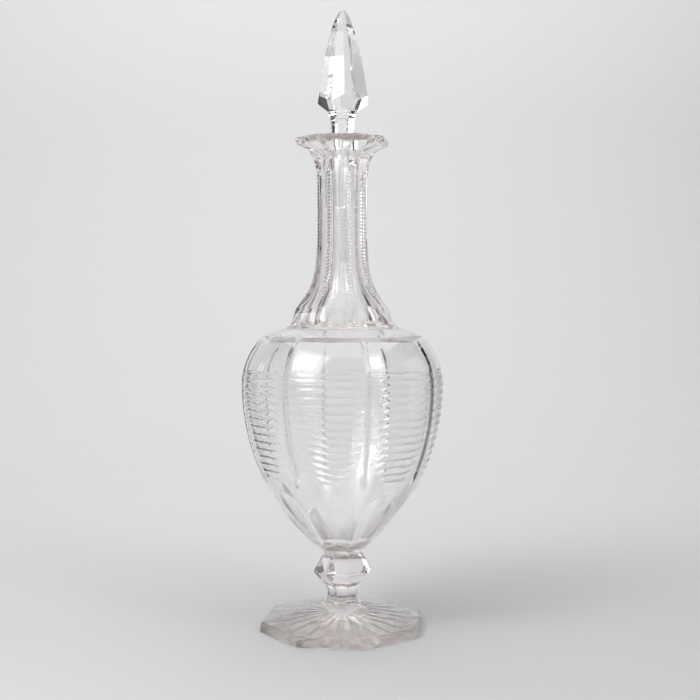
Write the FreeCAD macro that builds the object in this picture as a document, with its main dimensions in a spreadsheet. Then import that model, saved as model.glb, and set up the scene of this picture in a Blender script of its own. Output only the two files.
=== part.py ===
"""Cut crystal decanter with a faceted spire stopper.

Frame: millimetres, +Z up, origin on the table at the centre of the foot, -Y towards the viewer.
The decanter is worked from four gathers of glass fused hot, one above the other: the foot, the stem,
the knop, and the blown bowl with its shoulder, neck and lip. All of its cutting is eight-sided and
shares one phase. The stopper is a solid six-sided spire on a waisted shank, with a ground conical
plug that sits in the neck.
"""
import FreeCAD, Part

import math
import os

import Sketcher

from FreeCAD import Placement, Rotation, Vector

SIDES = 8
SPIRE_SIDES = 6
STAR_RAYS = 24
RIBS = 14

# Driving dimensions in millimetres and degrees, by the alias that each has in the sheet.
DIMENSIONS = {
    # foot, stem and knop: heights above the table, and radii out to the corners
    "foot_rim_top": 5.9,
    "foot_top": 15.4,
    "foot_radius": 47.8,
    "foot_top_radius": 46.9,
    "foot_collar_radius": 9.7,
    "star_depth": 1.4,
    "star_half_width": 1.1,
    "star_inner": 9.0,
    "star_outer": 40.0,
    "stem_waist_height": 20.0,
    "stem_waist_radius": 8.6,
    "stem_top": 24.0,
    "stem_top_radius": 9.2,
    "knop_girdle_height": 33.2,
    "knop_girdle_radius": 16.5,
    "bowl_base": 42.0,
    "knop_top_radius": 11.3,
    # bowl: two arcs that meet upright at the belly
    "belly_height": 139.3,
    "belly_radius": 57.3,
    "lower_curve": 120.7,
    "upper_curve": 36.8,
    "bowl_heel_height": 46.0,
    "shoulder_edge": 167.0,
    "shoulder_top": 172.3,
    "shoulder_top_radius": 30.6,
    # neck and lip
    "lip_top": 277.6,
    # the cavity
    "wall": 4.2,
    "cavity_floor": 51.0,
    "cavity_shoulder_radius": 38.0,
    "bore_radius": 6.4,
    "bore_below_plug": 233.0,
    "mouth_start": 268.0,
    "mouth_radius": 21.0,
    # the ground joint between neck and plug
    "seat_gap": 0.1,
    "plug_base": 238.2,
    "plug_base_radius": 6.5,
    "plug_shoulder": 268.0,
    "plug_shoulder_radius": 7.4,
    "plug_top": 271.5,
    "plug_top_radius": 6.0,
    "plug_rounding": 4.0,
    "plug_chamfer": 0.8,
    # the stopper's under-facets
    "pavilion_base": 292.8,
    "pavilion_base_radius": 8.4,
    "pavilion_top": 300.0,
    "pavilion_top_radius": 17.8,
    "spire_tip": 350.0,
    # the cutting on the bowl
    "mitre_half_width": 1.9,
    "mitre_depth": 1.1,
    "mitre_above_belly": 38.0,
    "mitre_below_belly": 27.0,
    "ribs_above_belly": 9.3,
    "rib_pitch": 4.37,
    "rib_depth": 0.65,
    # where the cutting starts, turned about the vertical
    "cut_phase": 13.5,
    "spire_phase": 34.0,
}
# Corner radii of the lofted eight-sided and six-sided sections, each at its height.
NECK_SECTIONS = [
    ("shoulder_top", 172.3, 30.2),
    ("skirt_foot", 176.8, 28.6),
    ("skirt_top", 182.8, 26.5),
    ("flute_foot", 186.0, 24.0),
    ("flute_low", 190.5, 21.1),
    ("flute_mid", 195.0, 18.8),
    ("flute_high", 200.5, 17.0),
    ("flute_end", 209.0, 15.5),
    ("neck_low", 222.0, 14.8),
    ("neck_mid", 240.0, 14.8),
    ("neck_high", 258.0, 15.1),
    ("flare_foot", 265.0, 16.3),
    ("flare_mid", 269.5, 18.8),
    ("flare_high", 272.3, 23.0),
    ("lip_underside", 273.9, 26.6),
    ("lip_edge", 276.9, 26.9),
    ("lip_top", 277.6, 26.4),
]
SPIRE_SECTIONS = [
    ("girdle", 297.4, 16.0),
    ("spire_a", 303.5, 15.1),
    ("spire_b", 310.5, 13.9),
    ("spire_c", 317.5, 12.6),
    ("spire_d", 324.0, 11.2),
    ("spire_e", 330.5, 9.5),
    ("spire_f", 337.0, 7.5),
    ("spire_g", 343.0, 5.2),
    ("spire_h", 347.0, 3.0),
    ("spire_tip", 350.0, 0.5),
]
SHANK_SECTIONS = [
    ("plug_top", 271.5, 6.6),
    ("shank_waist", 280.0, 6.8),
    ("shank_flare", 287.0, 7.6),
    ("shank_top", 290.6, 8.6),
    ("pavilion_base", 292.8, 8.6),
]
# The round throat inside, where the cavity draws in from the shoulder to the bore of the neck.
THROAT_SECTIONS = [
    ("throat_foot", 169.2, 31.5),
    ("throat_low", 172.5, 25.0),
    ("throat_mid", 178.5, 19.5),
    ("throat_high", 184.5, 14.8),
    ("throat_neck", 193.5, 10.3),
    ("throat_end", 203.0, 8.0),
    ("bore_start", 214.0, 6.9),
]
# How far a mitre's vee stands clear of the bowl before it bites, and half its pivot line's length.
VEE_CLEARANCE = 1.0
PIVOT_REACH = 5.0


class Dim:
    """A size that knows both its value now and the expression that binds it to the sheet."""

    def __init__(self, value, text):
        self.value = value
        self.text = text

    def _with(self, other, sign, value, turned=False):
        text = other.text if isinstance(other, Dim) else repr(float(other))
        first, second = (text, self.text) if turned else (self.text, text)
        return Dim(value, f"({first} {sign} {second})")

    def __add__(self, other):
        return self._with(other, "+", self.value + number(other))

    def __sub__(self, other):
        return self._with(other, "-", self.value - number(other))

    def __rsub__(self, other):
        return self._with(other, "-", number(other) - self.value, turned=True)

    def __mul__(self, other):
        return self._with(other, "*", self.value * number(other))

    def __truediv__(self, other):
        return self._with(other, "/", self.value / number(other))

    def __neg__(self):
        return self * -1.0

    __radd__ = __add__
    __rmul__ = __mul__


def number(size):
    """The plain value of a Dim or of a number."""
    return size.value if isinstance(size, Dim) else float(size)


def root(dim):
    """The square root of a Dim."""
    return Dim(math.sqrt(dim.value), f"sqrt({dim.text})")


def cosine_and_sine(turn):
    """The cosine and the sine of a Dim that is an angle in degrees, as the sheet reads it."""
    angle = math.radians(turn.value)
    return Dim(math.cos(angle), f"cos({turn.text})"), Dim(math.sin(angle), f"sin({turn.text})")


def make_sheet(doc):
    """The spreadsheet of driving dimensions, and each of them as a Dim."""
    sheet = doc.addObject("Spreadsheet::Sheet", "Dims")
    values = dict(DIMENSIONS)
    tables = {
        "neck": NECK_SECTIONS,
        "spire": SPIRE_SECTIONS,
        "shank": SHANK_SECTIONS,
        "throat": THROAT_SECTIONS,
    }
    for kind, table in tables.items():
        for name, height, radius in table:
            values.setdefault(name, height)
            values[f"{kind}_radius_at_{name}"] = radius
    dims = {}
    for row, (alias, value) in enumerate(values.items(), start=1):
        sheet.set(f"A{row}", alias)
        sheet.set(f"B{row}", str(value))
        sheet.setAlias(f"B{row}", alias)
        dims[alias] = Dim(value, f"Dims.{alias}")
    doc.recompute()
    return dims


def new_body(doc, name, label, phase):
    """A body turned about the vertical, so that its first corner lies at the phase angle."""
    body = doc.addObject("PartDesign::Body", name)
    body.Label = label
    body.Placement = Placement(Vector(0, 0, 0), Rotation(Vector(0, 0, 1), phase.value))
    body.setExpression("Placement.Rotation.Angle", phase.text)
    return body


def origin_part(body, role):
    """One of the body's own origin planes or axes, by its role."""
    return next(f for f in body.Origin.OriginFeatures if f.Role == role)


def new_sketch(body, name, role, offset=None):
    """A sketch on one of the body's own origin planes, moved along the plane's normal."""
    sketch = body.newObject("Sketcher::SketchObject", name)
    sketch.AttachmentSupport = (origin_part(body, role), [""])
    sketch.MapMode = "FlatFace"
    if offset is not None:
        sketch.AttachmentOffset = Placement(Vector(0, 0, number(offset)), Rotation())
        sketch.setExpression("AttachmentOffset.Base.z", offset.text)
    return sketch


def constrain(sketch, constraint, size):
    """Adds a dimension to a sketch, bound to the sheet if the size is a Dim."""
    index = sketch.addConstraint(constraint)
    if isinstance(size, Dim):
        sketch.setExpression(f"Constraints[{index}]", size.text)


def fix_point(sketch, geometry, position, x, y):
    """Places one point of a sketch by its two distances from the sketch's origin."""
    for kind, size in (("DistanceX", x), ("DistanceY", y)):
        value = number(size)
        constrain(sketch, Sketcher.Constraint(kind, -1, 1, geometry, position, value), size)


def bulge(start, end, radius):
    """The highest point of the arc of that radius that bulges to the right of the way to the end."""
    (x_a, y_a), (x_b, y_b) = start, end
    half = math.hypot(x_b - x_a, y_b - y_a) / 2
    rise = radius - math.sqrt(radius * radius - half * half)
    across = Vector(y_b - y_a, x_a - x_b, 0).normalize()
    return Vector((x_a + x_b) / 2, (y_a + y_b) / 2, 0) + across * rise


def outline(sketch, points, arcs=None):
    """A closed outline through points, with an arc of the given radius after the numbered points."""
    arcs = arcs or {}
    ends = [(number(x), number(y)) for x, y in points]
    count = len(points)
    sides = []
    for i in range(count):
        start, end = ends[i], ends[(i + 1) % count]
        first, last = Vector(*start, 0), Vector(*end, 0)
        if i not in arcs:
            sides.append((sketch.addGeometry(Part.LineSegment(first, last), False), 1, 2))
            continue
        middle = bulge(start, end, number(arcs[i]))
        side = sketch.addGeometry(Part.Arc(first, middle, last), False)
        forward = (sketch.getPoint(side, 1) - first).Length < 1e-6
        sides.append((side, 1, 2) if forward else (side, 2, 1))
        radius = number(arcs[i])
        constrain(sketch, Sketcher.Constraint("Radius", side, radius), arcs[i])
    for i in range(count):
        side, _, last = sides[i]
        following, first, _ = sides[(i + 1) % count]
        sketch.addConstraint(Sketcher.Constraint("Coincident", side, last, following, first))
    for (side, first, _), (x, y) in zip(sides, points):
        fix_point(sketch, side, first, x, y)
    return sketch


def polygon_section(body, name, sides, height, corner_radius, half_step=False):
    """A level sketch with a regular polygon, its first corner on the body's X axis or half a step on."""
    sketch = new_sketch(body, name, "XY_Plane", height)
    points = []
    for i in range(sides):
        angle = 2.0 * math.pi * (i + (0.5 if half_step else 0.0)) / sides
        points.append((corner_radius * math.cos(angle), corner_radius * math.sin(angle)))
    return outline(sketch, points)


def loft(body, name, sections):
    """A solid with flat faces through level polygon sketches."""
    feature = body.newObject("PartDesign::AdditiveLoft", name)
    feature.Profile = sections[0]
    feature.Sections = [(section, [""]) for section in sections[1:]]
    feature.Ruled = True
    return feature


def table_loft(body, name, kind, table, sides, dims):
    """The loft through one of the section tables."""
    sections = []
    for row, _, _ in table:
        radius = dims[f"{kind}_radius_at_{row}"]
        section_name = f"{kind.capitalize()}At{row.title().replace('_', '')}"
        sections.append(polygon_section(body, section_name, sides, dims[row], radius))
    return loft(body, name, sections)


def around(body, name, features, count):
    """The features repeated around the body's own Z axis."""
    pattern = body.newObject("PartDesign::PolarPattern", name)
    pattern.Originals = features
    pattern.Axis = (origin_part(body, "Z_Axis"), [""])
    pattern.Angle = 360
    pattern.Occurrences = count
    body.Tip = pattern
    return pattern


def turned(body, kind, name, sketch, axis="V_Axis", angle=360.0, reverse=False):
    """A Revolution or a Groove of a sketch about one of its axes."""
    feature = body.newObject(f"PartDesign::{kind}", name)
    feature.Profile = sketch
    feature.ReferenceAxis = (sketch, [axis])
    feature.Angle = number(angle)
    if isinstance(angle, Dim):
        feature.setExpression("Angle", angle.text)
    feature.Reversed = reverse
    return feature


def make_foot(doc, dims):
    """The eight-sided foot: an upright rim, a shallow roof up to the stem, a star cut underneath."""
    body = new_body(doc, "Foot", "foot", dims["cut_phase"])
    nothing = dims["foot_rim_top"] - dims["foot_rim_top"]
    levels = [
        ("RimFoot", nothing, dims["foot_radius"]),
        ("RimTop", dims["foot_rim_top"], dims["foot_top_radius"]),
        ("Collar", dims["foot_top"], dims["foot_collar_radius"]),
    ]
    sections = [polygon_section(body, name, SIDES, z, r) for name, z, r in levels]
    loft(body, "FootRoof", sections)
    ray = new_sketch(body, "StarRayProfile", "YZ_Plane", dims["star_inner"])
    half, depth = dims["star_half_width"], dims["star_depth"]
    outline(ray, [(-half, 0.0), (half, 0.0), (0.0, depth)])
    cut = body.newObject("PartDesign::Pocket", "StarRay")
    cut.Profile = ray
    length = dims["star_outer"] - dims["star_inner"]
    cut.Length = number(length)
    cut.setExpression("Length", length.text)
    cut.Reversed = True
    around(body, "Star", [cut], STAR_RAYS)
    return body


def make_stem(doc, dims):
    """The short eight-sided stem, drawn in a little at its waist."""
    body = new_body(doc, "Stem", "stem", dims["cut_phase"])
    levels = [
        ("StemFoot", dims["foot_top"], dims["foot_collar_radius"]),
        ("StemWaist", dims["stem_waist_height"], dims["stem_waist_radius"]),
        ("StemTop", dims["stem_top"], dims["stem_top_radius"]),
    ]
    loft(body, "StemLoft", [polygon_section(body, name, SIDES, z, r) for name, z, r in levels])
    return body


def make_knop(doc, dims):
    """The eight-sided knop, a double cone between stem and bowl."""
    body = new_body(doc, "Knop", "knop", dims["cut_phase"])
    levels = [
        ("KnopFoot", dims["stem_top"], dims["stem_top_radius"]),
        ("KnopGirdle", dims["knop_girdle_height"], dims["knop_girdle_radius"]),
        ("KnopTop", dims["bowl_base"], dims["knop_top_radius"]),
    ]
    loft(body, "KnopLoft", [polygon_section(body, name, SIDES, z, r) for name, z, r in levels])
    return body


def bowl_radius(dims, height, inset=0.0):
    """The bowl's radius at a height, or the cavity's when inset by the wall."""
    rise = height - dims["belly_height"]
    curve = dims["upper_curve"] if number(rise) > 0 else dims["lower_curve"]
    reach = curve - inset
    return (dims["belly_radius"] - curve) + root(reach * reach - rise * rise)


def on_bowl(dims, travel, inset=0.0):
    """The point that far down the bowl's meridian from the belly, and that far inside its surface."""
    curve = dims["upper_curve"] if number(travel) < 0 else dims["lower_curve"]
    cosine, sine = cosine_and_sine(travel / curve * math.degrees(1.0))
    reach = curve - inset
    return (dims["belly_radius"] - curve + reach * cosine, dims["belly_height"] - reach * sine)


def make_bowl(doc, dims):
    """The blown bowl with shoulder, neck and lip; ribs and mitres outside, one cavity inside."""
    body = new_body(doc, "BowlAndNeck", "bowl_and_neck", dims["cut_phase"])
    base, belly = dims["bowl_base"], dims["belly_height"]
    heel, edge = dims["bowl_heel_height"], dims["shoulder_edge"]
    profile = new_sketch(body, "BowlProfile", "XZ_Plane")
    points = [(0.0, base), (dims["knop_top_radius"] * math.cos(math.pi / SIDES), base)]
    points.append((bowl_radius(dims, heel), heel))
    arcs = {2: dims["lower_curve"]}
    for i in range(RIBS, 0, -1):
        crest = dims["rib_pitch"] * float(i) - dims["ribs_above_belly"]
        valley = crest - dims["rib_pitch"] * 0.5
        points.append(on_bowl(dims, crest))
        points.append(on_bowl(dims, valley, dims["rib_depth"]))
    arcs[len(points)] = dims["upper_curve"]
    points.append(on_bowl(dims, -dims["ribs_above_belly"]))
    points.append((bowl_radius(dims, edge), edge))
    points.append((dims["shoulder_top_radius"], dims["shoulder_top"]))
    points.append((0.0, dims["shoulder_top"]))
    turned(body, "Revolution", "BowlBlank", outline(profile, points, arcs))

    table_loft(body, "NeckAndLip", "neck", NECK_SECTIONS, SIDES, dims)

    mitres = []
    for name, curve, angle, reverse in (
        ("MitreBelow", "lower_curve", "mitre_below_belly", False),
        ("MitreAbove", "upper_curve", "mitre_above_belly", True),
    ):
        vee = new_sketch(body, f"{name}Profile", "XY_Plane", belly)
        outside = dims["belly_radius"] + VEE_CLEARANCE
        root_of_vee = dims["belly_radius"] - dims["mitre_depth"]
        centre = dims["belly_radius"] - dims[curve]
        half = dims["mitre_half_width"]
        outline(vee, [(outside, -half), (outside, half), (root_of_vee, 0.0)])
        start = Vector(number(centre), -PIVOT_REACH, 0)
        end = Vector(number(centre), PIVOT_REACH, 0)
        pivot = vee.addGeometry(Part.LineSegment(start, end), True)
        fix_point(vee, pivot, 1, centre, -PIVOT_REACH)
        fix_point(vee, pivot, 2, centre, PIVOT_REACH)
        mitres.append(turned(body, "Groove", name, vee, "Axis0", dims[angle], reverse))
    around(body, "Mitres", mitres, SIDES)

    cavity = new_sketch(body, "CavityProfile", "XZ_Plane")
    floor, wall, gap = dims["cavity_floor"], dims["wall"], dims["seat_gap"]
    inner = dims["cavity_shoulder_radius"]
    reach, run = dims["upper_curve"] - wall, inner - dims["belly_radius"] + dims["upper_curve"]
    points = [
        (0.0, floor),
        (bowl_radius(dims, floor, wall), floor),
        (dims["belly_radius"] - wall, belly),
        (inner, belly + root(reach * reach - run * run)),
    ]
    points += [(dims[f"throat_radius_at_{row}"], dims[row]) for row, _, _ in THROAT_SECTIONS]
    points += [
        (dims["bore_radius"], dims["bore_below_plug"]),
        (dims["plug_base_radius"] + gap, dims["plug_base"]),
        (dims["plug_shoulder_radius"] + gap, dims["mouth_start"]),
        (dims["mouth_radius"], dims["lip_top"]),
        (0.0, dims["lip_top"]),
    ]
    arcs = {1: dims["lower_curve"] - wall, 2: dims["upper_curve"] - wall}
    turned(body, "Groove", "Cavity", outline(cavity, points, arcs))
    return body


def make_finial(doc, dims):
    """The stopper's head: a six-sided spire on its shank, cut back below by six staggered facets."""
    spire = new_body(doc, "SpireBody", "spire and shank", dims["spire_phase"])
    sections = []
    base = polygon_section(
        spire, "SpireBelow", SPIRE_SIDES, dims["pavilion_base"], dims["spire_radius_at_girdle"]
    )
    sections.append(base)
    for row, _, _ in SPIRE_SECTIONS:
        radius = dims[f"spire_radius_at_{row}"]
        name = f"SpireAt{row.title().replace('_', '')}"
        sections.append(polygon_section(spire, name, SPIRE_SIDES, dims[row], radius))
    loft(spire, "Spire", sections)

    facets = new_body(doc, "FacetsBody", "staggered under-facets", dims["spire_phase"])
    levels = [
        ("FacetsFoot", dims["pavilion_base"], dims["pavilion_base_radius"]),
        ("FacetsTop", dims["pavilion_top"], dims["pavilion_top_radius"]),
        ("FacetsEnd", dims["spire_tip"], dims["pavilion_top_radius"]),
    ]
    sections = [
        polygon_section(facets, name, SPIRE_SIDES, z, r, half_step=True) for name, z, r in levels
    ]
    loft(facets, "Facets", sections)

    head = doc.addObject("Part::MultiCommon", "SpireHead")
    head.Shapes = [spire, facets]

    shank = new_body(doc, "ShankBody", "shank", dims["spire_phase"])
    table_loft(shank, "Shank", "shank", SHANK_SECTIONS, SPIRE_SIDES, dims)

    finial = doc.addObject("Part::MultiFuse", "StopperFinial")
    finial.Shapes = [head, shank]
    finial.Label = "stopper_finial"
    return finial


def make_plug(doc, dims):
    """The ground conical plug under the stopper's shank."""
    body = new_body(doc, "StopperPlug", "stopper_plug", dims["spire_phase"])
    profile = new_sketch(body, "PlugProfile", "XZ_Plane")
    points = [
        (0.0, dims["plug_base"]),
        (dims["plug_base_radius"] - dims["plug_chamfer"], dims["plug_base"]),
        (dims["plug_base_radius"], dims["plug_base"] + dims["plug_chamfer"]),
        (dims["plug_shoulder_radius"], dims["plug_shoulder"]),
        (dims["plug_top_radius"], dims["plug_top"]),
        (0.0, dims["plug_top"]),
    ]
    turned(body, "Revolution", "Plug", outline(profile, points, {3: dims["plug_rounding"]}))
    return body


def check(doc):
    """Stops the build if any object of the document failed."""
    for item in doc.Objects:
        if "Invalid" in item.State or "Error" in item.State:
            raise RuntimeError(f"{item.Name} is {item.State}")
        shape = getattr(item, "Shape", None)
        if shape is not None and (shape.isNull() or not shape.isValid()):
            raise RuntimeError(f"{item.Name} has no valid shape")


def main():
    doc = FreeCAD.newDocument("CrystalDecanter")
    dims = make_sheet(doc)
    nodes = {
        "foot": make_foot(doc, dims),
        "stem": make_stem(doc, dims),
        "knop": make_knop(doc, dims),
        "bowl_and_neck": make_bowl(doc, dims),
        "stopper_finial": make_finial(doc, dims),
        "stopper_plug": make_plug(doc, dims),
    }
    doc.recompute()
    check(doc)
    os.makedirs("parts", exist_ok=True)
    for name, item in nodes.items():
        box = item.Shape.BoundBox
        print(
            f"{name}: {len(item.Shape.Solids)} solid, {item.Shape.Volume / 1000.0:.1f} cm3,"
            f" z {box.ZMin:.2f} to {box.ZMax:.2f}"
        )
        item.Shape.exportStep(f"parts/{name}.step")


main()
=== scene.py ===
"""The looks of the cut crystal decanter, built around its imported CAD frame.

Metres, +Z up, the viewer on -Y. The decanter's glass is fused hot into one piece, so one mesh
stands for the foot, stem, knop and bowl_and_neck: a path runs from the star cut under the foot, up
the outside, over the lip and down the inside, and each step on it is a ring of points. The stopper
is the second mesh. Lengths in the shape functions are millimetres; build_mesh turns them into
metres.
"""

import math

import bmesh
import bpy
import numpy as np
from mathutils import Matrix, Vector


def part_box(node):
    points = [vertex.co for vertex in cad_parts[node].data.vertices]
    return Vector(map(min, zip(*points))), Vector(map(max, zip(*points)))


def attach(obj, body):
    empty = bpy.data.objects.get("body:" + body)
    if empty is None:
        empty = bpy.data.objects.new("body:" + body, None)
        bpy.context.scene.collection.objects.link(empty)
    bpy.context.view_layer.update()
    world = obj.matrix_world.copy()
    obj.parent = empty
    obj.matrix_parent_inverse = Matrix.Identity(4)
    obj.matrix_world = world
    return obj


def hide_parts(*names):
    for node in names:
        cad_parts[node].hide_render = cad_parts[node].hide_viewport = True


MM = 0.001
SIDES = 8
HALF_TURN = 180.0 / SIDES
CUT_PHASE = 13.5
SPIRE_SIDES = 6
SPIRE_PHASE = 34.0
# Columns of faces from a corner to the middle of a panel, and the angle that the first three take
# up where all are equal.
HALF_COLUMNS = 12
EVEN = HALF_TURN * 3.0 / HALF_COLUMNS

# Bowl: two arcs that meet upright at the belly, and the wall inside them; then the heights of the
# shoulder's edge and top, and of the neck's skirt.
BELLY_HEIGHT = 139.3
LOWER_CURVE = 120.7
UPPER_CURVE = 36.8
WALL = 4.2
SHOULDER_EDGE = 167.0
SHOULDER_TOP = 177.5
SKIRT_TOP = 182.6

# Cutting on the bowl.
RIBS = 14
RIB_PITCH = 4.37
RIB_DEPTH = 0.62
RIBS_ABOVE_BELLY = 9.3
ROWS_PER_RIB = 7
MITRE_HALF_WIDTH = 1.9
MITRE_DEPTH = 1.1
MITRE_TOP = 165.5
MITRE_BOTTOM = 83.0
FLUTE_TOP = 83.0
FLUTE_SPRING = 64.0

# Cutting on the neck.
NOTCH_BOTTOM = 184.5
NOTCH_TOP = 263.0
NOTCH_PITCH = 1.95
NOTCH_DEPTH = 0.75
NOTCH_REACH = 1.5
PANEL_HOLLOW = 0.45

# Star under the foot: how far the underside is lifted off the table and where that ends, and the
# rays, with the reach at which they are at full depth and the one at which they end.
UNDERCUT = 0.5
UNDERCUT_EDGE = 38.0
UNDERCUT_FADE = 8.0
STAR_RAYS = 24
STAR_DEPTH = 0.6
RAY_HALF_WIDTH = 2.2
RAY_FULL_REACH = 22.0
STAR_REACH = 42.5

# Inside: where the rounded floor begins and how deep it is; the haze thins out up to its top.
FLOOR_SPRING = 55.0
FLOOR_DEPTH = 7.0
HAZE_TOP = 92.0
HAZE_FADE = 30.0

# The stopper: the height of the seat at the top of its ground plug, the plug's radius low down and
# what it gains up to the seat, and the radius inside which its glass is not ground. Then the facets
# ground off under the spire, by where their planes start and how far they rise over how much run.
PLUG_SEAT = 268.0
PLUG_RADIUS = 6.5
PLUG_TAPER = 0.9
PLUG_END_RADIUS = 6.0
FACET_BASE = 292.8
FACET_INNER = 7.1
FACET_RISE = 7.2
FACET_RUN = 8.3

# Edges sharper than these angles stay sharp: the blanks', the decanter's, the stopper's.
BLANK_CREASE = 22.0
DECANTER_CREASE = 12.5
STOPPER_CREASE = 14.0

IOR = 1.55

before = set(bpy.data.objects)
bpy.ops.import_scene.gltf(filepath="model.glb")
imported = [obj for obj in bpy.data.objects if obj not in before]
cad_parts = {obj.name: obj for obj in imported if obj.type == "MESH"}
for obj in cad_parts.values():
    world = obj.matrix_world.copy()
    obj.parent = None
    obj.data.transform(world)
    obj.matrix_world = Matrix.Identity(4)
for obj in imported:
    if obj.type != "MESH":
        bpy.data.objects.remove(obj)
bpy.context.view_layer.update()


def node_box(name):
    """A CAD node's lowest and highest corner in millimetres."""
    low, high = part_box(name)
    return [v / MM for v in low], [v / MM for v in high]


LIP_TOP = node_box("bowl_and_neck")[1][2]
BELLY_RADIUS = node_box("bowl_and_neck")[1][0]
PLUG_LOW = node_box("stopper_plug")[0][2]
SPIRE_TIP = node_box("stopper_finial")[1][2]


# ---------------------------------------------------------------- rings of the decanter


def columns(hug):
    """Angles of a ring's points from corner to mid-panel; the first three hug the corner."""
    near = hug * np.arange(3) / 3.0
    far = np.linspace(hug, HALF_TURN, HALF_COLUMNS - 2)
    return np.concatenate([near, far])


def octagon(corner_radius, angles, softness=0.0):
    """Distance from the axis to an octagon's edge; softness 1 turns it into a circle."""
    edge = math.cos(math.radians(HALF_TURN)) / np.cos(np.radians(HALF_TURN - angles))
    return corner_radius * ((1.0 - softness) * edge + softness)


def ring(radii, heights, angles):
    """One ring of the path: half a sector's angles, radii and heights."""
    return angles, np.broadcast_to(radii, angles.shape), np.broadcast_to(heights, angles.shape)


def smooth(x):
    """A smooth step from 0 to 1."""
    x = np.clip(x, 0.0, 1.0)
    return x * x * (3.0 - 2.0 * x)


def curve_through(points):
    """A smooth function through points in rising order of their first number."""
    xs = np.array([p[0] for p in points], float)
    ys = np.array([p[1] for p in points], float)
    steps = np.diff(ys) / np.diff(xs)
    slopes = np.zeros(len(xs))
    slopes[0], slopes[-1] = steps[0], steps[-1]
    for i in range(1, len(xs) - 1):
        before, after = steps[i - 1], steps[i]
        if before * after > 0:
            slopes[i] = 2.0 * before * after / (before + after)

    def value(x):
        x = np.asarray(x, float)
        i = np.clip(np.searchsorted(xs, x) - 1, 0, len(xs) - 2)
        width = xs[i + 1] - xs[i]
        t = np.clip((x - xs[i]) / width, 0.0, 1.0)
        a = (1 + 2 * t) * (1 - t) ** 2 * ys[i] + t * (1 - t) ** 2 * width * slopes[i]
        b = t * t * (3 - 2 * t) * ys[i + 1] + t * t * (t - 1) * width * slopes[i + 1]
        return a + b

    return value


def star_rings():
    """The underside: vee rays that fan out from the centre and die away before the rim."""
    rings = []
    angles = columns(EVEN)
    spacing = 360.0 / STAR_RAYS
    off_axis = np.abs((angles + spacing / 2.0) % spacing - spacing / 2.0)
    for reach in np.concatenate([np.linspace(1.5, 30.0, 12), np.linspace(32.0, STAR_REACH, 9)]):
        ending = math.sqrt(max(0.0, 1.0 - (reach / STAR_REACH) ** 6))
        depth = STAR_DEPTH * smooth(reach / RAY_FULL_REACH) * ending
        width = min(spacing / 2.0, math.degrees(RAY_HALF_WIDTH / reach))
        lift = UNDERCUT * (1.0 - smooth((reach - UNDERCUT_EDGE) / UNDERCUT_FADE))
        heights = lift + depth * np.clip(1.0 - off_axis / width, 0.0, 1.0)
        rings.append(ring(reach, heights, angles))
    rings.append(ring(octagon(46.4, angles, 0.25), 0.0, angles))
    return rings


def foot_rings():
    """The rim, the shallow roof, and the short waisted stem that grows out of it."""
    profile = [
        (47.3, 0.0, 0.0),
        (47.8, 0.5, 0.0),
        (47.0, 5.4, 0.0),
        (46.5, 5.9, 0.0),
    ]
    roof = curve_through([(12.0, 14.6), (16.0, 13.1), (24.0, 11.2), (36.0, 8.2), (46.5, 5.9)])
    for radius in np.linspace(45.9, 12.0, 22):
        profile.append((radius, float(roof(radius)), 0.0))
    stem = curve_through([
        (15.0, 11.0), (16.2, 9.6), (18.0, 8.9), (20.5, 8.6), (23.0, 8.9), (24.6, 9.6),
    ])
    for height in np.linspace(15.0, 24.6, 14):
        profile.append((float(stem(height)), height, 0.12))
    angles = columns(EVEN)
    return [ring(octagon(radius, angles, soft), height, angles) for radius, height, soft in profile]


def knop_rings():
    """The knop: two eight-sided cones base to base, their edges softened by polishing."""
    angles = columns(EVEN)
    profile = [(9.9, 25.0, 0.05), (10.3, 25.5, 0.05)]
    for share in np.linspace(0.12, 0.9, 8):
        profile.append((10.0 + 6.6 * share, 25.2 + 7.0 * share, 0.04))
    profile += [(16.45, 32.3, 0.05), (16.75, 33.0, 0.06), (16.55, 33.8, 0.05)]
    for share in np.linspace(0.12, 0.96, 8):
        profile.append((16.7 - 4.6 * share, 33.4 + 8.4 * share, 0.03))
    profile += [(12.1, 42.0, 0.02), (10.9, 42.3, 0.02), (10.7, 42.8, 0.0)]
    return [ring(octagon(radius, angles, soft), height, angles) for radius, height, soft in profile]


def bowl_point(travel, inset=0.0):
    """Radius and height on the bowl's meridian, by the way down it from the belly."""
    curve = UPPER_CURVE if travel < 0 else LOWER_CURVE
    turn = travel / curve
    reach = curve - inset
    return BELLY_RADIUS - curve + reach * math.cos(turn), BELLY_HEIGHT - reach * math.sin(turn)


def bowl_travel(height):
    """The way down the meridian from the belly to a height."""
    curve = UPPER_CURVE if height > BELLY_HEIGHT else LOWER_CURVE
    return -curve * math.asin((height - BELLY_HEIGHT) / curve)


def rib_half_length(row):
    """Half a rib's angle: full width at the top, drawn in to a shield's point at the bottom."""
    fall = row / (RIBS - 1.0)
    return 21.0 - 2.0 * fall - 8.5 * fall**4


def rib_cut(travel, radius, angles):
    """How deep the hollow ribs bite: one scoop per rib, with rounded ends."""
    along = (travel + RIBS_ABOVE_BELLY) / RIB_PITCH
    row = math.floor(along + 1e-6)
    if row < 0 or row >= RIBS:
        return np.zeros(len(angles))
    across = 2.0 * (along - row) - 1.0
    side = np.radians(HALF_TURN - angles) * radius
    end = math.radians(rib_half_length(row)) * radius
    reach = side / end
    return RIB_DEPTH * (1.0 - 0.4 * reach**2) * np.clip(1.0 - across**2 - reach**8, 0.0, None)


def mitre_cut(height, radius, angles):
    """The upright vee between two panels, fading out at both ends."""
    fade = smooth((height - MITRE_BOTTOM) / 12.0) * smooth((MITRE_TOP - height) / 6.0)
    side = np.radians(angles) * radius
    return fade * MITRE_DEPTH * np.clip(1.0 - side / MITRE_HALF_WIDTH, 0.0, 1.0)


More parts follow.
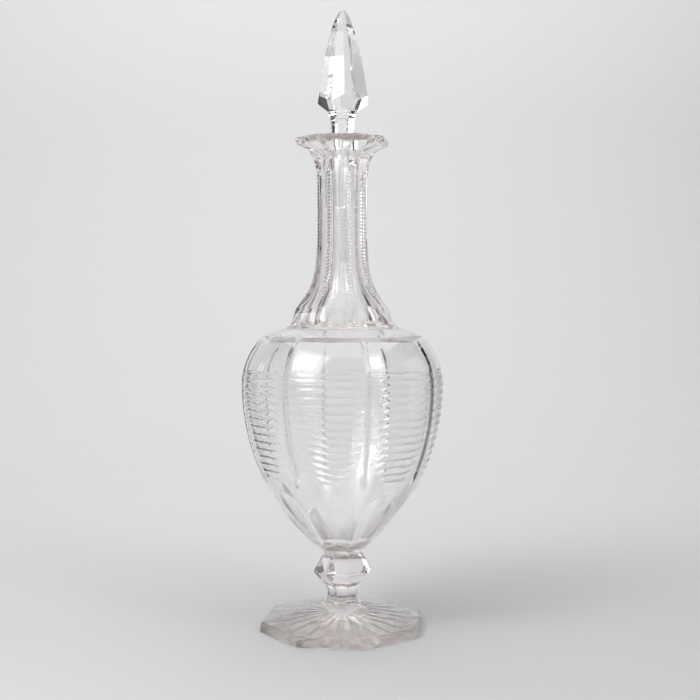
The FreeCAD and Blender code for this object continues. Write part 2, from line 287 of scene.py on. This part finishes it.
def flute_radius(height, radius, angles):
    """The eight broad flutes at the bowl's foot: flat panels that run out in arches above."""
    rise = (height - FLUTE_SPRING) / (FLUTE_TOP - FLUTE_SPRING)
    full = 1.0 / math.cos(math.radians(HALF_TURN)) - 1.0
    spread = 1.0 + full * np.clip(rise, 0.0, None) ** 1.2
    hollow = 0.5 * smooth((FLUTE_TOP - height) / 14.0) * smooth((height - 43.0) / 8.0)
    flat = octagon(radius * spread, angles) - hollow * np.sin(np.pi * angles / (2 * HALF_TURN)) ** 2
    return np.minimum(radius, flat)


def bowl_rings():
    """The bowl from the knop to the edge of its shoulder."""
    rings = []
    heights = list(np.linspace(43.6, 62.0, 16)) + list(np.linspace(63.2, 86.0, 24))
    travels = [bowl_travel(height) for height in heights]
    bottom = RIBS * RIB_PITCH - RIBS_ABOVE_BELLY
    travels += [bottom - RIB_PITCH * i / ROWS_PER_RIB for i in range(RIBS * ROWS_PER_RIB + 1)]
    top = bowl_travel(SHOULDER_EDGE)
    travels += list(np.linspace(-RIBS_ABOVE_BELLY, top, 14)[1:])
    for travel in travels:
        radius, height = bowl_point(travel)
        hug = np.degrees(1.5 * MITRE_HALF_WIDTH / radius)
        angles = columns(EVEN + (hug - EVEN) * float(smooth((height - 62.0) / 20.0)))
        radii = np.full(len(angles), radius)
        if height < FLUTE_TOP:
            radii = flute_radius(height, radius, angles)
        cut = rib_cut(travel, radius, angles) + mitre_cut(height, radius, angles)
        rings.append(ring(radii - cut, height, angles))
    return rings


def notch_cut(height, radius, angles):
    """The fine notches that bead each arris of the neck."""
    along = (height - NOTCH_BOTTOM) / NOTCH_PITCH
    depth = NOTCH_DEPTH * math.sin(math.pi * (along - math.floor(along + 1e-6))) ** 2
    fade = float(smooth((height - NOTCH_BOTTOM) / 8.0) * smooth((NOTCH_TOP - height) / 6.0))
    side = np.radians(angles) * radius
    return fade * depth * np.clip(1.0 - side / NOTCH_REACH, 0.0, 1.0)


def neck_rings():
    """The plain shoulder, the skirt of the neck, its fluted shaft and the flare into the lip."""
    rings = []
    edge_radius, _ = bowl_point(bowl_travel(SHOULDER_EDGE))
    shoulder = curve_through([
        (SHOULDER_EDGE, edge_radius), (168.2, 41.0), (170.0, 35.4), (171.3, 32.2), (172.5, 30.3),
        (174.2, 28.4), (SHOULDER_TOP, 22.0),
    ])
    skirt = curve_through([
        (170.0, 31.2), (172.5, 30.0), (175.0, 29.2), (179.0, 27.9), (SKIRT_TOP, 26.5),
    ])
    shaft = curve_through([
        (SKIRT_TOP, 26.5),
        (186.0, 24.0), (190.5, 21.1), (195.0, 18.8), (200.5, 17.0), (209.0, 15.5),
        (222.0, 14.85), (240.0, 14.8), (258.0, 15.1), (264.5, 16.2), (268.6, 18.0), (271.4, 21.0),
        (273.0, 24.2), (273.9, 26.3),
    ])
    heights = list(np.linspace(SHOULDER_EDGE + 0.5, 172.6, 8))
    heights += list(np.linspace(173.0, SHOULDER_TOP, 13))
    heights += list(np.linspace(178.3, SKIRT_TOP, 6)) + [183.2, 183.8]
    notches = round((NOTCH_TOP - NOTCH_BOTTOM) / NOTCH_PITCH)
    heights += [NOTCH_BOTTOM + NOTCH_PITCH * i / 4.0 for i in range(4 * notches)]
    heights += list(np.linspace(NOTCH_TOP + 0.8, 273.9, 14))
    for height in heights:
        if height <= SKIRT_TOP:
            corner, hollow = float(skirt(height)), 0.0
        else:
            corner = float(shaft(height))
            hollow = PANEL_HOLLOW * float(smooth((height - SKIRT_TOP) / 10.0))
        angles = columns(np.degrees(1.5 * NOTCH_REACH / corner))
        radii = octagon(corner, angles) - hollow * np.sin(np.pi * angles / (2 * HALF_TURN)) ** 2
        if height < SHOULDER_TOP:
            radii = np.maximum(radii, float(shoulder(height)))
        if NOTCH_BOTTOM < height < NOTCH_TOP:
            radii = radii - notch_cut(height, corner, angles)
        rings.append(ring(radii, height, angles))
    return rings


def lip_rings():
    """The upright rim of the lip, its flat top and the trumpet mouth down to the ground seat."""
    angles = columns(5.0)
    rim = [
        (26.8, 274.3, 0.0),
        (26.9, LIP_TOP - 0.5, 0.0),
        (26.5, LIP_TOP - 0.05, 0.0),
        (23.5, LIP_TOP, 0.5),
    ]
    rings = [ring(octagon(radius, angles, soft), height, angles) for radius, height, soft in rim]
    mouth = [
        (21.0, 277.5), (18.6, 276.8), (16.0, 275.6), (13.5, 274.0), (11.4, 272.2), (9.6, 270.4),
        (8.3, 269.0), (7.55, PLUG_SEAT),
    ]
    rings += [ring(radius, height, angles) for radius, height in mouth]
    return rings


def cavity_rings():
    """The inside: ground seat, bore, throat, and the bowl's cavity down to its floor."""
    angles = columns(EVEN)
    throat = curve_through([
        (166.4, 38.0), (169.2, 31.5), (172.5, 25.0), (178.5, 19.5), (184.5, 14.8), (193.5, 10.3),
        (203.0, 8.0), (214.0, 6.9), (224.0, 6.6), (234.0, 6.55), (PLUG_LOW, 6.6), (PLUG_SEAT, 7.5),
    ])
    rings = []
    for height in list(np.linspace(264.0, 214.0, 14)) + list(np.linspace(211.0, 167.0, 26)):
        rings.append(ring(float(throat(height)), height, angles))
    start = -UPPER_CURVE * math.asin((166.0 - BELLY_HEIGHT) / (UPPER_CURVE - WALL))
    end = LOWER_CURVE * math.asin((BELLY_HEIGHT - FLOOR_SPRING) / (LOWER_CURVE - WALL))
    for travel in np.linspace(start, end, 40):
        radius, height = bowl_point(travel, WALL)
        rings.append(ring(radius, height, angles))
    floor, height = bowl_point(end, WALL)
    for turn in np.linspace(12.0, 84.0, 8):
        fall = FLOOR_DEPTH * math.sin(math.radians(turn))
        rings.append(ring(floor * math.cos(math.radians(turn)) ** 0.9, height - fall, angles))
    return rings


# ---------------------------------------------------------------- meshes


def ring_points(half_ring):
    """A whole ring's points from half a sector, mirrored and repeated around."""
    angles, radii, heights = half_ring
    back = slice(HALF_COLUMNS - 1, 0, -1)
    sector = np.concatenate([angles, 2 * HALF_TURN - angles[back]])
    radii = np.concatenate([radii, radii[back]])
    heights = np.concatenate([heights, heights[back]])
    turns = [CUT_PHASE + 2 * HALF_TURN * i for i in range(SIDES)]
    around = np.radians(np.concatenate([sector + turn for turn in turns]))
    radii, heights = np.tile(radii, SIDES), np.tile(heights, SIDES)
    return np.stack([radii * np.cos(around), radii * np.sin(around), heights], axis=1)


def skin(rows, first_pole, last_pole):
    """Points and faces of the closed surface through equally long rings and a point at each end."""
    count = len(rows[0])
    points = np.concatenate([[first_pole], *rows, [last_pole]])
    faces = []
    for j in range(count):
        faces.append((0, 1 + (j + 1) % count, 1 + j))
    for i in range(len(rows) - 1):
        low, high = 1 + i * count, 1 + (i + 1) * count
        for j in range(count):
            k = (j + 1) % count
            faces.append((low + j, low + k, high + k, high + j))
    last, end = 1 + (len(rows) - 1) * count, len(points) - 1
    for j in range(count):
        faces.append((last + j, last + (j + 1) % count, end))
    return points, faces


def build_mesh(name, points, faces, crease=BLANK_CREASE):
    """An object from points in millimetres, smooth-shaded but for edges sharper than the crease."""
    mesh = bpy.data.meshes.new(name)
    mesh.from_pydata((np.asarray(points) * MM).tolist(), [], faces)
    mesh.validate()
    finish_mesh(mesh, crease)
    piece = bpy.data.objects.new(name, mesh)
    bpy.context.scene.collection.objects.link(piece)
    return piece


def finish_mesh(mesh, crease):
    """Outward faces, smooth shading and sharp arrises."""
    work = bmesh.new()
    work.from_mesh(mesh)
    bmesh.ops.recalc_face_normals(work, faces=work.faces)
    for face in work.faces:
        face.smooth = True
    work.to_mesh(mesh)
    work.free()
    mesh.set_sharp_from_angle(angle=math.radians(crease))


def make_decanter():
    """The decanter's glass, from the centre of the star, round the lip, to the bowl's floor."""
    under, inside = star_rings(), cavity_rings()
    rings = under + foot_rings() + knop_rings() + bowl_rings() + neck_rings() + lip_rings() + inside
    rows = [ring_points(half_ring) for half_ring in rings]
    haze = [1.0] * len(under) + [0.0] * (len(rings) - len(under) - len(inside))
    haze += [float(smooth((HAZE_TOP - half_ring[2][0]) / HAZE_FADE)) for half_ring in inside]
    floor = rows[-1][0][2] - 0.1
    points, faces = skin(rows, (0.0, 0.0, 0.4), (0.0, 0.0, floor))
    piece = build_mesh("decanter_glass", points, faces, DECANTER_CREASE)
    dulled = piece.data.attributes.new("haze", "FLOAT", "POINT")
    dulled.data.foreach_set("value", [haze[0], *np.repeat(haze, len(rows[0])), haze[-1]])
    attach(piece, "decanter")
    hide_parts("foot", "stem", "knop", "bowl_and_neck")
    return piece


def polygon_rows(levels, sides, phase, steps):
    """Rings through levels of corner radius, height and roundness, with steps points a side."""
    rows = []
    half = 180.0 / sides
    for radius, height, roundness in levels:
        row = []
        for i in range(sides * steps):
            turn = 360.0 * i / (sides * steps)
            off_flat = abs(turn % (2 * half) - half)
            edge = math.cos(math.radians(half)) / math.cos(math.radians(off_flat))
            reach = radius * ((1.0 - roundness) * edge + roundness)
            angle = math.radians(phase + turn)
            row.append((reach * math.cos(angle), reach * math.sin(angle), height))
        rows.append(row)
    return rows


def make_spire():
    """The spire: six facets that bow in to the tip, then six staggered facets ground off below."""
    outline = curve_through([
        (FACET_BASE, 16.0),
        (297.4, 16.0), (303.5, 15.1), (310.5, 13.9), (317.5, 12.6), (324.0, 11.2),
        (330.5, 9.5), (337.0, 7.5), (343.0, 5.2), (347.0, 3.1), (SPIRE_TIP - 0.3, 0.6),
    ])
    heights = [FACET_BASE, 297.4] + list(np.linspace(299.0, 343.0, 34))
    heights += list(np.linspace(344.2, SPIRE_TIP - 0.3, 6))
    levels = [(float(outline(height)), height, 0.0) for height in heights]
    rows = polygon_rows(levels, SPIRE_SIDES, SPIRE_PHASE, 1)
    points, faces = skin(rows, (0.0, 0.0, FACET_BASE), (0.0, 0.0, SPIRE_TIP))
    piece = build_mesh("spire_blank", points, faces)
    work = bmesh.new()
    work.from_mesh(piece.data)
    slope = math.atan2(FACET_RUN, FACET_RISE)
    for i in range(SPIRE_SIDES):
        turn = math.radians(SPIRE_PHASE + 360.0 * i / SPIRE_SIDES)
        outward = Vector((math.cos(turn), math.sin(turn), 0.0))
        normal = outward * math.cos(slope) - Vector((0.0, 0.0, math.sin(slope)))
        place = (outward * FACET_INNER + Vector((0.0, 0.0, FACET_BASE))) * MM
        everything = work.verts[:] + work.edges[:] + work.faces[:]
        cut = bmesh.ops.bisect_plane(
            work, geom=everything, dist=1e-7, plane_co=place, plane_no=normal, clear_outer=True
        )
        rim = [item for item in cut["geom_cut"] if isinstance(item, bmesh.types.BMEdge)]
        bmesh.ops.edgeloop_fill(work, edges=rim)
    work.to_mesh(piece.data)
    work.free()
    return piece


def make_stopper():
    """The stopper: ground plug, waisted shank and spire, all one glass."""
    spire = make_spire()
    low, seat = PLUG_LOW, PLUG_SEAT
    levels = [(5.6, low, 1.0), (6.2, low + 0.25, 1.0), (PLUG_RADIUS, low + 0.9, 1.0)]
    for height in np.linspace(low + 3.0, seat, 12):
        radius = PLUG_RADIUS + PLUG_TAPER * (height - low) / (seat - low)
        levels.append((radius, height, 1.0))
    levels += [
        (7.3, 268.9, 1.0),
        (7.0, 269.7, 1.0),
        (6.6, 270.4, 0.9),
        (6.3, 271.0, 0.6),
        (6.35, 271.8, 0.2),
    ]
    shank = curve_through([(273.0, 6.5), (279.0, 6.75), (285.0, 7.2), (289.4, 8.0)])
    levels += [(float(shank(height)), height, 0.0) for height in np.linspace(273.0, 289.4, 12)]
    levels += [(8.3, 290.3, 0.0), (9.1, 290.6, 0.0), (9.2, 292.4, 0.0), (8.6, 293.6, 0.0)]
    rows = polygon_rows(levels, SPIRE_SIDES, SPIRE_PHASE, 8)
    points, faces = skin(rows, (0.0, 0.0, low), (0.0, 0.0, 293.6))
    piece = build_mesh("stopper_glass", points, faces)
    union = piece.modifiers.new("spire", "BOOLEAN")
    union.operation = "UNION"
    union.solver = "EXACT"
    union.object = spire
    graph = bpy.context.evaluated_depsgraph_get()
    joined = bpy.data.meshes.new_from_object(piece.evaluated_get(graph))
    piece.modifiers.clear()
    piece.data = joined
    bpy.data.objects.remove(spire)
    finish_mesh(joined, STOPPER_CREASE)
    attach(piece, "stopper")
    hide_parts("stopper_finial", "stopper_plug")
    return piece


# ---------------------------------------------------------------- materials


def new_material(name):
    """A node material, its tree and its Principled shader."""
    material = bpy.data.materials.new(name)
    material.use_nodes = True
    tree = material.node_tree
    return material, tree, tree.nodes["Principled BSDF"]


def set_glass(shader, roughness, tint):
    """Clear glass on a Principled shader."""
    shader.inputs["Transmission Weight"].default_value = 1.0
    shader.inputs["IOR"].default_value = IOR
    shader.inputs["Roughness"].default_value = roughness
    shader.inputs["Base Color"].default_value = (*tint, 1.0)


def add_waviness(tree, shader, scale, distance):
    """The faint unevenness of hand-worked glass, as a bump."""
    place = tree.nodes.new("ShaderNodeTexCoord")
    noise = tree.nodes.new("ShaderNodeTexNoise")
    noise.inputs["Scale"].default_value = scale
    noise.inputs["Detail"].default_value = 1.0
    bump = tree.nodes.new("ShaderNodeBump")
    bump.inputs["Strength"].default_value = 1.0
    bump.inputs["Distance"].default_value = distance
    tree.links.new(place.outputs["Object"], noise.inputs["Vector"])
    tree.links.new(noise.outputs["Fac"], bump.inputs["Height"])
    tree.links.new(bump.outputs["Normal"], shader.inputs["Normal"])


def add_haze(tree, shader):
    """A fine dull grain where the haze attribute says that the surface is worn or clouded."""
    place = tree.nodes.new("ShaderNodeTexCoord")
    grain = tree.nodes.new("ShaderNodeTexNoise")
    grain.inputs["Scale"].default_value = 1800.0
    amount = tree.nodes.new("ShaderNodeAttribute")
    amount.attribute_name = "haze"
    bump = tree.nodes.new("ShaderNodeBump")
    bump.inputs["Distance"].default_value = 0.00008
    tree.links.new(place.outputs["Object"], grain.inputs["Vector"])
    tree.links.new(grain.outputs["Fac"], bump.inputs["Height"])
    tree.links.new(amount.outputs["Fac"], bump.inputs["Strength"])
    tree.links.new(shader.inputs["Normal"].links[0].from_socket, bump.inputs["Normal"])
    tree.links.new(bump.outputs["Normal"], shader.inputs["Normal"])


def add_depth_tint(tree, colour, density):
    """Colour that only shows where light goes a long way through the glass."""
    volume = tree.nodes.new("ShaderNodeVolumeAbsorption")
    volume.inputs["Color"].default_value = (*colour, 1.0)
    volume.inputs["Density"].default_value = density
    output = tree.nodes["Material Output"]
    tree.links.new(volume.outputs["Volume"], output.inputs["Volume"])


def crystal_material():
    """Polished lead crystal."""
    material, tree, shader = new_material("polished_crystal")
    set_glass(shader, 0.0, (1.0, 1.0, 1.0))
    add_waviness(tree, shader, 60.0, 0.00004)
    add_haze(tree, shader)
    add_depth_tint(tree, (0.68, 0.45, 0.40), 4.0)
    return material


def spire_material():
    """The stopper's polished facets."""
    material, tree, shader = new_material("polished_stopper")
    set_glass(shader, 0.0, (1.0, 1.0, 1.0))
    add_waviness(tree, shader, 40.0, 0.00001)
    return material


def ground_material():
    """The ground plug: the same glass with a fine satin surface."""
    material, tree, shader = new_material("ground_plug")
    set_glass(shader, 0.12, (1.0, 1.0, 1.0))
    add_waviness(tree, shader, 900.0, 0.000004)
    return material


def backdrop_material():
    """Pale grey seamless paper."""
    material, _, shader = new_material("grey_paper")
    shader.inputs["Base Color"].default_value = (0.66, 0.66, 0.66, 1.0)
    shader.inputs["Roughness"].default_value = 0.85
    shader.inputs["Specular IOR Level"].default_value = 0.2
    return material


# ---------------------------------------------------------------- stage, light and camera


def make_backdrop():
    """A seamless sweep: level floor, a round turn, and an upright back."""
    front, back, turn, top, half = -1.0, 1.0, 0.45, 1.8, 1.8
    steps = 16
    profile = [(front, 0.0), (back - turn, 0.0)]
    for i in range(1, steps):
        angle = math.radians(90.0 * i / steps)
        profile.append((back - turn + turn * math.sin(angle), turn - turn * math.cos(angle)))
    profile += [(back, turn), (back, top)]
    points, faces = [], []
    for y, z in profile:
        points += [(-half, y, z), (half, y, z)]
    for i in range(len(profile) - 1):
        faces.append((2 * i, 2 * i + 1, 2 * i + 3, 2 * i + 2))
    mesh = bpy.data.meshes.new("backdrop")
    mesh.from_pydata(points, [], faces)
    for face in mesh.polygons:
        face.use_smooth = True
    mesh.materials.append(backdrop_material())
    backdrop = bpy.data.objects.new("backdrop", mesh)
    bpy.context.scene.collection.objects.link(backdrop)
    return backdrop


def add_softbox(
    name, azimuth, elevation, distance, size, power, target=(0.0, 0.0, 0.15), colour=(1, 1, 1)
):
    """A rectangular softbox, seen from its target at an azimuth, in degrees from the viewer
    towards +X, and an elevation.
    """
    light = bpy.data.lights.new(name, "AREA")
    light.shape = "RECTANGLE"
    light.size, light.size_y = size
    light.energy = power
    light.color = colour
    across, up = math.radians(azimuth), math.radians(elevation)
    arm = Vector((math.sin(across) * math.cos(up), -math.cos(across) * math.cos(up), math.sin(up)))
    lamp = bpy.data.objects.new(name, light)
    lamp.location = Vector(target) + arm * distance
    lamp.rotation_euler = arm.to_track_quat("Z", "Y").to_euler()
    bpy.context.scene.collection.objects.link(lamp)
    return lamp


def make_lights():
    """A softbox high on each side in front, each with a brighter core; a large one overhead; two
    lights on the paper; pale walls to both sides; and a dim room behind the viewer.
    """
    for name, share, distance, power in (("outer", 1.0, 0.55, 1.1), ("core", 0.5, 0.54, 0.8)):
        size = (0.38 * share, 0.36 * share)
        add_softbox("softbox_left_" + name, -47.7, 37.0, distance, size, power)
        size = (0.22 * share, 0.31 * share)
        place = (44.4, 38.4, distance + 0.05)
        add_softbox("softbox_right_" + name, *place, size, 0.4 * power, colour=(0.93, 0.97, 1.0))
    add_softbox("softbox_top", 180.0, 89.0, 1.6, (2.3, 2.3), 17.6, target=(0.0, 0.1, 0.0))
    add_softbox("wall_light", 0.0, 12.0, 0.85, (1.6, 0.3), 7.7, target=(-0.05, 1.0, 0.66))
    add_softbox("corner_light", -30.0, 25.0, 0.5, (0.5, 0.4), 1.3, target=(-1.05, 0.9, 0.22))
    for name, azimuth, power in (("wall_right", 90.0, 2.8), ("wall_left", -90.0, 1.2)):
        add_softbox(name, azimuth, 0.0, 1.75, (1.4, 1.2), power, target=(0.0, 0.5, 0.6))
    add_softbox("room", 0.0, 3.0, 1.9, (2.6, 0.6), 1.5)
    world = bpy.data.worlds.new("room")
    world.use_nodes = True
    world.node_tree.nodes["Background"].inputs["Color"].default_value = (0.012, 0.012, 0.012, 1.0)
    bpy.context.scene.world = world


def make_camera():
    """The camera: near, a little above half height, and tipped slightly down."""
    camera = bpy.data.cameras.new("camera")
    camera.lens = 59.63
    camera.sensor_width = 36.0
    camera.clip_start = 0.02
    viewer = bpy.data.objects.new("camera", camera)
    object_height = SPIRE_TIP * MM
    distance, eye_level = 1.87887 * object_height, 0.53033 * object_height
    viewer.location = (0.0, -distance, eye_level)
    down, aside = math.radians(2.3457), math.radians(-0.3757)
    viewer.rotation_euler = (math.radians(90.0) - down, 0.0, aside)
    bpy.context.scene.collection.objects.link(viewer)
    bpy.context.scene.camera = viewer


def set_light_paths():
    """Enough bounces for light to cross every wall of the glass, and plain display colours."""
    scene = bpy.context.scene
    scene.cycles.max_bounces = 40
    scene.cycles.transmission_bounces = 40
    scene.cycles.glossy_bounces = 16
    scene.cycles.diffuse_bounces = 4
    scene.cycles.sample_clamp_indirect = 6.0
    scene.view_settings.view_transform = "Standard"


def dress_stopper(mesh):
    """Polished glass all over, but for the ground side of the plug."""
    mesh.materials.clear()
    mesh.materials.append(spire_material())
    mesh.materials.append(ground_material())
    for face in mesh.polygons:
        middle = face.center
        on_side = math.hypot(middle.x, middle.y) > PLUG_END_RADIUS * MM
        face.material_index = 1 if on_side and middle.z < (PLUG_SEAT + 0.2) * MM else 0


def main():
    decanter = make_decanter()
    decanter.data.materials.append(crystal_material())
    stopper = make_stopper()
    dress_stopper(stopper.data)
    make_backdrop()
    make_lights()
    make_camera()
    set_light_paths()


main()
